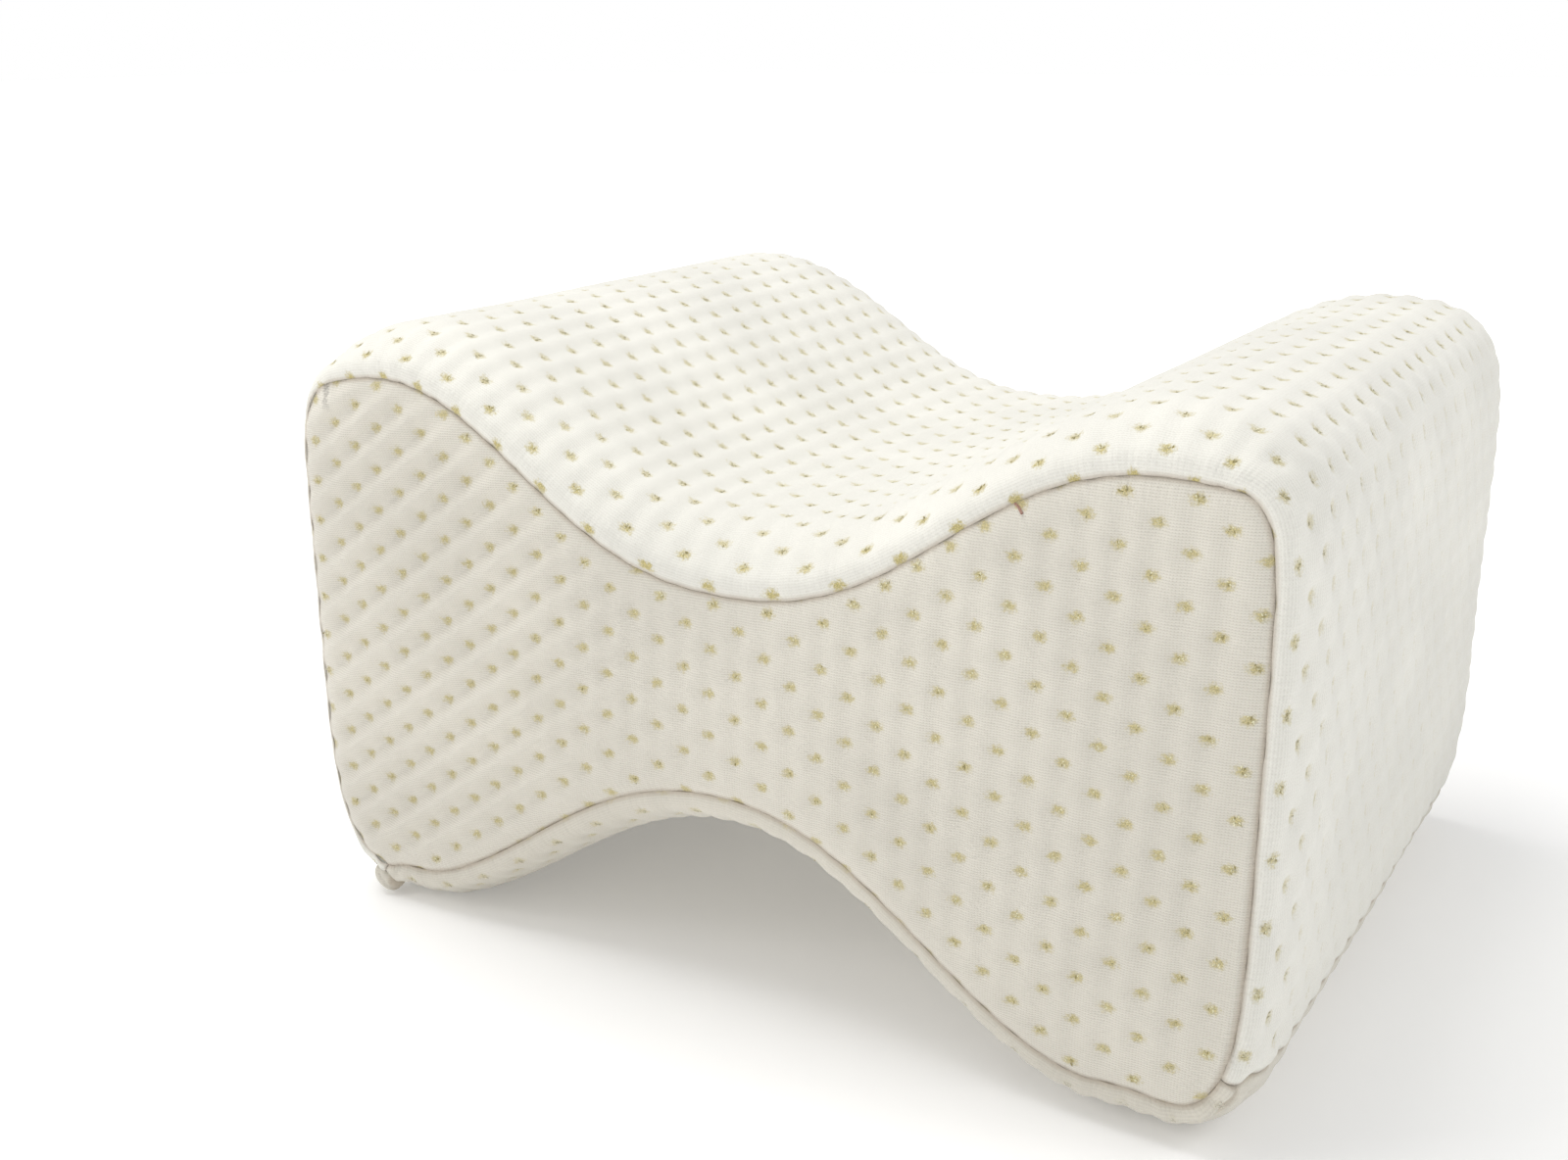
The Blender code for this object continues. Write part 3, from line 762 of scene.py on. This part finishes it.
def grid_tufts(outside, normals, maps, tone):
    """Centres, normals and runs of the tufts on a band grid, read from it between its points."""
    across, up, seam = maps
    a, b = lattice_points(across[0].min(), across[0].max(), up.min(), up.max())
    columns = across.shape[1]
    column = np.interp(a, across[0], np.arange(columns))
    low = np.clip(column.astype(int), 0, columns - 2)
    row = (up[:, low] < b[None]).sum(0) - 1
    keep = (row >= 0) & (row < up.shape[0] - 1)
    a, b, column, low, row = (x[keep] for x in (a, b, column, low, row))
    share_c = (column - low)[:, None]
    share_r = ((b - up[row, low]) / (up[row + 1, low] - up[row, low]))[:, None]

    def read(grid):
        first = grid[row, low] * (1 - share_c) + grid[row, low + 1] * share_c
        second = grid[row + 1, low] * (1 - share_c) + grid[row + 1, low + 1] * share_c
        return first * (1 - share_r) + second * share_r

    centres, facing = read(outside), read(normals)
    facing /= np.linalg.norm(facing, axis=1, keepdims=True)
    runs = outside[row, low + 1] - outside[row, low]
    runs -= (runs * facing).sum(1, keepdims=True) * facing
    runs /= np.linalg.norm(runs, axis=1, keepdims=True)
    far = read(seam[..., None])[:, 0]
    tones = read(tone[..., None])[:, 0]
    keep = (far > 0.0024) & (centres[:, 2] > 0.0012)
    return tuple(x[keep] for x in (centres, facing, runs, tones))


class PILLOW_OT_filled_body(bpy.types.Operator):
    """Builds the filled block in its wrap-around band, with its tufts."""

    bl_idname = "pillow.filled_body"
    bl_label = "Filled body and band"

    def execute(self, context):
        sizes = context.scene.pillow_sizes
        band = np.linspace(AT_LEFT_CROSS - LOOP, AT_RIGHT_CROSS, BAND_COLUMNS)
        cross = np.minimum(band - band[0], band[-1] - band)
        outside, normals, cloth, edge, maps = raise_cover(band, cross, sizes)
        tone = band_tone(band, maps[2])
        under = np.linspace(AT_RIGHT_CROSS, AT_LEFT_CROSS, BASE_COLUMNS // 2)
        seat = section(under, SEAT)
        shell = np.concatenate([outside, seat], axis=1)
        columns = np.concatenate([band, under])
        _, away, seam = OUTLINE.at(columns)
        ring = seam - SEAT_DRAFT * away
        middle = np.array([0.0, MIDDLE])
        caps = {}
        for end in (-1, 1):
            loops = []
            for scale in (1.0, *CAP_RINGS):
                flat = middle + (ring - middle) * scale
                reach = seam_reach(flat)[0] * (scale < 1)
                loops.append(np.stack([flat[:, 0], end * (SEAM_Y - SEAT + crown(reach)), flat[:, 1]], 1))
            caps[end] = np.stack(loops[::-1] if end < 0 else loops)
        grid = np.concatenate([caps[-1], shell, caps[1]])
        rows, count = grid.shape[:2]
        points = grid.reshape(-1, 3)
        hubs = np.array([[0, end * (SEAM_Y - SEAT + PANEL_CROWN), MIDDLE] for end in (-1, 1)])
        points = np.concatenate([points, hubs])
        quads = grid_faces(rows, count, wrap=True)
        cap_rows = len(CAP_RINGS) + 1

        def spread(values, rest):
            """Values of the band's own points, with rest everywhere else."""
            full = np.full((rows, count, values.shape[2]), rest, dtype=float)
            full[cap_rows:-cap_rows, : len(band)] = values
            return np.concatenate([full.reshape(-1, values.shape[2]), np.full((2, values.shape[2]), rest)])

        body = make(
            "filled_body_cover", points, quads, cover_material("band"),
            maps=[("cloth", spread(cloth, 0.0)), ("edge", spread(edge, 0.02))],
            values=[("tone", spread(tone[..., None], 0.0)[:, 0])], triangles=end_fans(rows, count),
        )
        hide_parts("filled_body")
        tuft_mesh("band_tufts", *grid_tufts(outside, normals, maps, tone), thread_material(), sizes)
        return {"FINISHED"}


class PILLOW_OT_base_panel(bpy.types.Operator):
    """Builds the panel under the pillow between its cross seams, with its tufts."""

    bl_idname = "pillow.base_panel"
    bl_label = "Base panel"

    def execute(self, context):
        sizes = context.scene.pillow_sizes
        s = np.linspace(AT_RIGHT_CROSS + GAP, AT_LEFT_CROSS - GAP, BASE_COLUMNS)
        cross = np.minimum(s - s[0], s[-1] - s)
        tuck = TUCK_DEPTH * smooth(1.15 - (s - s[0]) / TUCK_RUN)
        outside, normals, cloth, edge, maps = raise_cover(s, cross, sizes, tuck)
        inside = section(s, SHEET)
        rows, columns = outside.shape[:2]
        points = np.concatenate([outside.reshape(-1, 3), inside.reshape(-1, 3)])
        twice = [np.concatenate([m.reshape(-1, 2)] * 2) for m in (cloth, edge)]
        tones = 0.6 - 0.5 * smooth((outside[..., 0] - 0.02) / 0.05)
        tone = np.concatenate([tones.ravel()] * 2)
        panel = make(
            "base_panel_cover", points, sheet_faces(rows, columns), cover_material("base"),
            maps=[("cloth", twice[0]), ("edge", twice[1])], values=[("tone", tone)],
        )
        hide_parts("base_panel")
        tufts = tuft_mesh("base_tufts", *grid_tufts(outside, normals, maps, tones), thread_material(), sizes)
        return {"FINISHED"}


def inside_seam(x, z):
    """True where (x, z) lies inside the end seam, by the even-odd count of crossings."""
    a, b = SEAM_LINE, np.roll(SEAM_LINE, -1, 0)
    crosses = (a[:, 1] > z[:, None]) != (b[:, 1] > z[:, None])
    rise = np.where(np.abs(b[:, 1] - a[:, 1]) < 1e-12, 1e-12, b[:, 1] - a[:, 1])
    at = a[:, 0] + (z[:, None] - a[:, 1]) / rise * (b[:, 0] - a[:, 0])
    return (crosses & (x[:, None] < at)).sum(1) % 2 == 1


class PILLOW_OT_end_panels(bpy.types.Operator):
    """Builds the front and back hourglass panels, with their tufts."""

    bl_idname = "pillow.end_panels"
    bl_label = "End panels"

    def execute(self, context):
        sizes = context.scene.pillow_sizes
        outer = patch(seam_loop(PANEL_COLUMNS, PANEL_ROWS, 0.0), PANEL_COLUMNS, PANEL_ROWS)
        inner = patch(seam_loop(PANEL_COLUMNS, PANEL_ROWS, GAP + SEAT_DRAFT), PANEL_COLUMNS, PANEL_ROWS)
        flat, below = outer.reshape(-1, 2), inner.reshape(-1, 2)
        reach, place = seam_reach(flat)
        inner_reach = seam_reach(below)[0]
        for end, name in ((-1, "front_panel"), (1, "back_panel")):
            height = panel_height(flat[:, 0], flat[:, 1], reach, end, sizes)
            y = end * (SEAM_Y + crown(reach) + height)
            inner_y = end * (SEAM_Y - SHEET + crown(inner_reach))
            points = np.concatenate([
                np.stack([flat[:, 0], y, flat[:, 1]], 1), np.stack([below[:, 0], inner_y, below[:, 1]], 1)
            ])
            across, up = panel_cloth(flat[:, 0], flat[:, 1])
            cloth = np.stack([across * HALF_ACROSS, up * HALF_UP], 1)
            # The edge map's distance from the seam sets the painted shade along it
            edge = np.stack([place, reach], 1)
            panel = make(
                name + "_cover", points, sheet_faces(PANEL_ROWS + 1, PANEL_COLUMNS + 1),
                cover_material("panel"),
                maps=[("cloth", np.concatenate([cloth] * 2)), ("edge", np.concatenate([edge] * 2))],
                values=[("tone", np.ones(len(points)))],
            )
            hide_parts(name)
            tufts = self.add_tufts(name.split("_")[0] + "_tufts", end, sizes)
        return {"FINISHED"}

    def add_tufts(self, name, end, sizes):
        """The tufts of one panel, on its relief."""
        a, b = lattice_points(-24, 24, -22, 22)
        rises = np.array([PANEL_RISE_A, PANEL_RISE_B])
        x, z = np.array(PANEL_START)[:, None] + rises.T @ np.stack([(b - a) / 2, (a + b) / 2])
        keep = inside_seam(x, z)
        x, z = x[keep], z[keep]
        reach = seam_reach(np.stack([x, z], 1))[0]
        keep = reach > 0.0020
        x, z, reach = x[keep], z[keep], reach[keep]
        y = end * (SEAM_Y + crown(reach) + panel_height(x, z, reach, end, sizes))
        centres = np.stack([x, y, z], 1)
        facing = np.tile([0.0, float(end), 0.0], (len(x), 1))
        runs = np.tile([1.0, 0.0, 0.0], (len(x), 1))
        return tuft_mesh(name, centres, facing, runs, np.ones(len(x)), thread_material(), sizes)


class PILLOW_OT_corner_fold(bpy.types.Operator):
    """Builds the folded end of the left cross seam, and the loose thread end on the front seam."""

    bl_idname = "pillow.corner_fold"
    bl_label = "Folded corner and loose thread"

    def execute(self, context):
        low, high = np.array(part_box("corner_fold"))
        centre = (low + high) / 2 + FOLD_SHIFT
        rows, columns = 24, 40
        polar = np.linspace(0, np.pi, rows + 2)[1:-1, None]
        turn = np.linspace(0, 2 * np.pi, columns, endpoint=False)[None]
        # A blunt ellipsoid, long down the slope of the corner, whose radius dips along one crease
        ball = np.dstack([
            np.sin(polar) * np.cos(turn), np.sin(polar) * np.sin(turn), np.cos(polar) + 0 * turn
        ])
        ball = np.concatenate([ball.reshape(-1, 3), [[0, 0, 1], [0, 0, -1]]])
        crease = bell(ball[:, 2] + 0.3 * ball[:, 0], 0.15, 0.16)
        local = np.sign(ball) * np.abs(ball) ** 0.9 * FOLD_HALF * (1 - 0.14 * crease)[:, None]
        lean = np.radians(FOLD_LEAN)
        flat = local[:, [0, 2]] @ np.array([[np.cos(lean), np.sin(lean)], [-np.sin(lean), np.cos(lean)]])
        points = np.stack([flat[:, 0], local[:, 1], flat[:, 1]], 1) + centre
        points[:, 2] = np.maximum(points[:, 2], 0.0002)
        # The edge map's distance runs out towards the fold's right side, so the knit paints brown shade there,
        # beside the base strip
        edge = np.stack([points[:, 0], np.clip(centre[0] + 0.0030 - points[:, 0], 0.0002, 1)], 1)
        corner = make(
            "corner_fold_cover", points, grid_faces(rows, columns, wrap=True),
            cover_material("base"),
            maps=[("cloth", points[:, [0, 2]]), ("edge", edge)],
            values=[("tone", np.zeros(len(points)))], triangles=end_fans(rows, columns),
        )
        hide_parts("corner_fold")
        self.add_thread(context.scene.pillow_sizes)
        return {"FINISHED"}

    def add_thread(self, sizes):
        """A short bent tube that comes out of the front seam, from THREAD_ROOT along THREAD_WAY."""
        share = np.linspace(0, 1, 13)
        line = np.array(THREAD_ROOT) + share[:, None] * np.array(THREAD_WAY)
        x, z = line[:, 0], line[:, 1] + 0.0002 * np.sin(np.pi * share)
        reach = seam_reach(np.stack([x, z], 1))[0]
        ground = SEAM_Y + crown(reach) + panel_height(x, z, reach, -1, sizes)
        path = np.stack([x, -ground - THREAD_RADIUS * (0.3 + 0.9 * share), z], 1)
        run = np.gradient(path, axis=0)
        side = np.cross(run, (0.0, 1.0, 0.0))
        side /= np.linalg.norm(side, axis=1, keepdims=True)
        other = np.cross(side, run / np.linalg.norm(run, axis=1, keepdims=True))
        turn = np.linspace(0, 2 * np.pi, 12, endpoint=False)
        radius = THREAD_RADIUS * (1 + 0.12 * np.sin(20 * share))
        ring = np.cos(turn)[None, :, None] * side[:, None] + np.sin(turn)[None, :, None] * other[:, None]
        tube = path[:, None] + radius[:, None, None] * ring
        points = np.concatenate([tube.reshape(-1, 3), path[:1], path[-1:]])
        colour = tuple(bpy.context.scene.pillow_colours.loose)
        make(
            "loose_thread", points, grid_faces(len(share), len(turn), wrap=True),
            twisted(colour), triangles=end_fans(len(share), len(turn)),
        )


def look(place, aim):
    """A placement at place with its back turned away from aim and X level."""
    back = (place - aim) / np.linalg.norm(place - aim)
    right = np.cross((0.0, 0.0, 1.0), back)
    right /= np.linalg.norm(right)
    rows = np.column_stack([right, np.cross(back, right), back, place])
    return Matrix([*rows.tolist(), [0, 0, 0, 1]])


def camera_place():
    """The camera's placement: forward from yaw and pitch, then rolled about it."""
    yaw, pitch, roll = np.radians((CAMERA_YAW, CAMERA_PITCH, CAMERA_ROLL))
    ahead = np.array([-np.sin(yaw) * np.cos(pitch), np.cos(yaw) * np.cos(pitch), -np.sin(pitch)])
    level = np.array([np.cos(yaw), np.sin(yaw), 0.0])
    down = np.cross(ahead, level)
    right = np.cos(roll) * level + np.sin(roll) * down
    down = -np.sin(roll) * level + np.cos(roll) * down
    rows = np.column_stack([right, -down, -ahead, CAMERA_AT])
    return Matrix([*rows.tolist(), [0, 0, 0, 1]])


class PILLOW_OT_stage(bpy.types.Operator):
    """Builds the pale floor, the soft lights and the camera."""

    bl_idname = "pillow.stage"
    bl_label = "Floor, light and camera"

    def execute(self, context):
        scene, colours = context.scene, context.scene.pillow_colours
        bpy.ops.mesh.primitive_plane_add(size=FLOOR_SIZE, location=(0, 0, 0))
        floor = context.object
        floor.name = "floor"
        floor.data.materials.append(floor_paint("pale floor", tuple(colours.floor)))
        world = bpy.data.worlds.new("studio")
        world.use_nodes = True
        sky = world.node_tree.nodes["Background"]
        sky.inputs[0].default_value = (1.0, 1.0, 1.0, 1)
        seen = world.node_tree.nodes.new("ShaderNodeLightPath").outputs["Is Camera Ray"]
        strength = world.node_tree.nodes.new("ShaderNodeMapRange")
        strength.inputs[3].default_value, strength.inputs[4].default_value = SKY_LIGHT, SKY_SEEN
        world.node_tree.links.new(seen, strength.inputs[0])
        world.node_tree.links.new(strength.outputs[0], sky.inputs[1])
        scene.world = world
        for lamp in LAMPS:
            light = bpy.data.lights.new(lamp.name, "AREA")
            light.size, light.energy, light.color = lamp.size, lamp.power, lamp.tint
            obj = bpy.data.objects.new(lamp.name, light)
            scene.collection.objects.link(obj)
            obj.matrix_world = look(np.array(lamp.place), np.array(lamp.aim))
        camera = bpy.data.cameras.new("camera")
        camera.sensor_width = SENSOR_WIDTH
        camera.lens = CAMERA_FOCUS * SENSOR_WIDTH / PHOTO_WIDTH
        camera.clip_start = 0.01
        obj = bpy.data.objects.new("camera", camera)
        scene.collection.objects.link(obj)
        obj.matrix_world = camera_place()
        scene.camera = obj
        scene.view_settings.view_transform = "Standard"
        return {"FINISHED"}


class PILLOW_PT_panel(bpy.types.Panel):
    """Lists the pillow's pieces, sizes and colours."""

    bl_label = "Knee pillow"
    bl_space_type = "VIEW_3D"
    bl_region_type = "UI"
    bl_category = "Knee pillow"

    def draw(self, context):
        for group in (context.scene.pillow_sizes, context.scene.pillow_colours):
            for key in group.bl_rna.properties.keys():
                if key not in ("rna_type", "name"):
                    self.layout.prop(group, key)
        for operator in OPERATORS:
            self.layout.operator(operator.bl_idname)


OPERATORS = (
    PILLOW_OT_filled_body,
    PILLOW_OT_end_panels,
    PILLOW_OT_base_panel,
    PILLOW_OT_corner_fold,
    PILLOW_OT_stage,
)
CLASSES = (PillowSizes, PillowColours, *OPERATORS, PILLOW_PT_panel)


def register():
    for cls in CLASSES:
        bpy.utils.register_class(cls)
    bpy.types.Scene.pillow_sizes = PointerProperty(type=PillowSizes)
    bpy.types.Scene.pillow_colours = PointerProperty(type=PillowColours)


def unregister():
    del bpy.types.Scene.pillow_colours, bpy.types.Scene.pillow_sizes
    for cls in reversed(CLASSES):
        bpy.utils.unregister_class(cls)


def main():
    register()
    bpy.ops.pillow.filled_body()
    bpy.ops.pillow.end_panels()
    bpy.ops.pillow.base_panel()
    bpy.ops.pillow.corner_fold()
    bpy.ops.pillow.stage()


if __name__ == "__main__":
    main()
